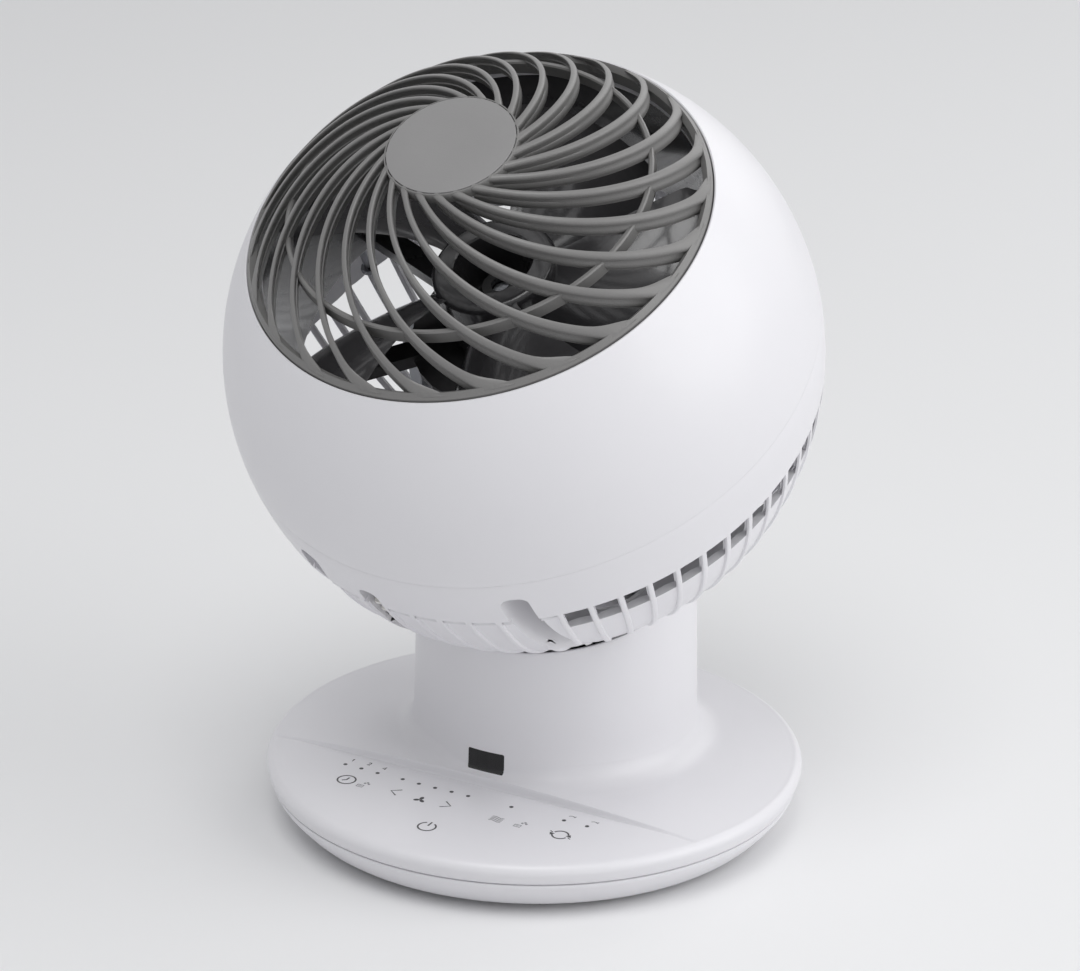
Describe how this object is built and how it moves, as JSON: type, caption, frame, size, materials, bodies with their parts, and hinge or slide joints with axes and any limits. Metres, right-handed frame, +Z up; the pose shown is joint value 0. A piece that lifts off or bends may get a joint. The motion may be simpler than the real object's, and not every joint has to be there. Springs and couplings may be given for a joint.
{
  "type": "air circulator fan",
  "caption": "Table-top air circulator: a ball-shaped fan with a swirl grille that tilts in a neck on a round base that turns on a weighted foot.",
  "frame": {"origin": "on the floor, under the middle of the whole object's bounding box", "axes": "+Z up, -Y towards the front with the keys, +X to the viewer's right"},
  "size_m": [0.21, 0.2128, 0.2826],
  "materials": {
    "white_plastic": "gloss",
    "grey_plastic": "satin",
    "badge_grey": "satin",
    "dark_plastic": "gloss",
    "black_plastic": "gloss",
    "rubber": "matt",
    "cast_iron": "rough",
    "brass": "satin",
    "gear_nylon": "satin",
    "circuit_board": "satin",
    "light_guide": "gloss",
    "winding": "satin",
    "aluminium": "satin",
    "steel": "satin"
  },
  "bodies": {
    "foot": {"ballast_ring": "cast_iron", "ballast_screw_1": "steel", "ballast_screw_2": "steel", "ballast_screw_3": "steel", "cord_gland": "black_plastic", "foot_shell": "white_plastic", "pan_gear": "gear_nylon", "pan_retainer": "steel", "rubber_foot_1": "rubber", "rubber_foot_2": "rubber", "rubber_foot_3": "rubber", "rubber_foot_4": "rubber"},
    "base": {"base_top": "white_plastic", "base_tray": "dark_plastic", "deck_screw_1": "steel", "deck_screw_2": "steel", "deck_screw_3": "steel", "deck_screw_4": "steel", "ir_receiver": "black_plastic", "ir_window": "black_plastic", "light_guide": "light_guide", "main_board": "circuit_board", "pan_motor": "steel", "pivot_bush_left": "brass", "pivot_bush_right": "brass", "tilt_motor": "steel", "tilt_motor_bracket": "steel", "touch_board": "circuit_board", "tray_screw_1": "steel", "tray_screw_2": "steel", "tray_screw_3": "steel", "tray_screw_4": "steel", "yoke_arm_left": "steel", "yoke_arm_right": "steel", "yoke_deck": "steel"},
    "pan_pinion": {"pan_pinion": "gear_nylon"},
    "tilt_wheel": {"tilt_wheel": "gear_nylon"},
    "head": {"air_duct": "dark_plastic", "bearing_front": "steel", "bearing_rear": "steel", "front_grille": "grey_plastic", "front_shell": "white_plastic", "hub_badge": "badge_grey", "motor_bracket": "dark_plastic", "motor_case": "aluminium", "motor_cover": "aluminium", "pivot_pin_left": "steel", "pivot_pin_right": "steel", "rear_shell": "white_plastic", "shell_screw_1": "steel", "shell_screw_2": "steel", "shell_screw_3": "steel", "shell_screw_4": "steel", "stator_core": "winding", "tilt_rack": "gear_nylon"},
    "rotor": {"rotor_shaft": "steel", "fan_blades": "dark_plastic", "blade_nut": "black_plastic"}
  },
  "joints": [
    {"name": "pan", "type": "hinge", "parent": "foot", "child": "base", "pos_m": [0, 0.00895, 0.0148], "axis": [0, 0, 1], "range_deg": [-30, 30]},
    {"name": "tilt", "type": "hinge", "parent": "base", "child": "head", "pos_m": [0, -0.00145, 0.1782], "axis": [-1, 0, 0], "range_deg": [-60, 30]},
    {"name": "fan_spin", "type": "hinge", "parent": "head", "child": "rotor", "pos_m": [0, -0.00145, 0.1782], "axis": [0, -0.5, 0.866], "continuous": true},
    {"name": "pan_pinion_turn", "type": "hinge", "parent": "base", "child": "pan_pinion", "pos_m": [0, 0.0502, 0.012], "axis": [0, 0, 1], "range_deg": [-93.75, 93.75]},
    {"name": "tilt_wheel_turn", "type": "hinge", "parent": "base", "child": "tilt_wheel", "pos_m": [-0.015, 0.0278, 0.06905], "axis": [-1, 0, 0], "range_deg": [-230.77, 461.54]}
  ],
  "couplings": [
    {"joint": "pan_pinion_turn", "follows": "pan", "ratio": 3.125},
    {"joint": "tilt_wheel_turn", "follows": "tilt", "ratio": -7.6923}
  ]
}
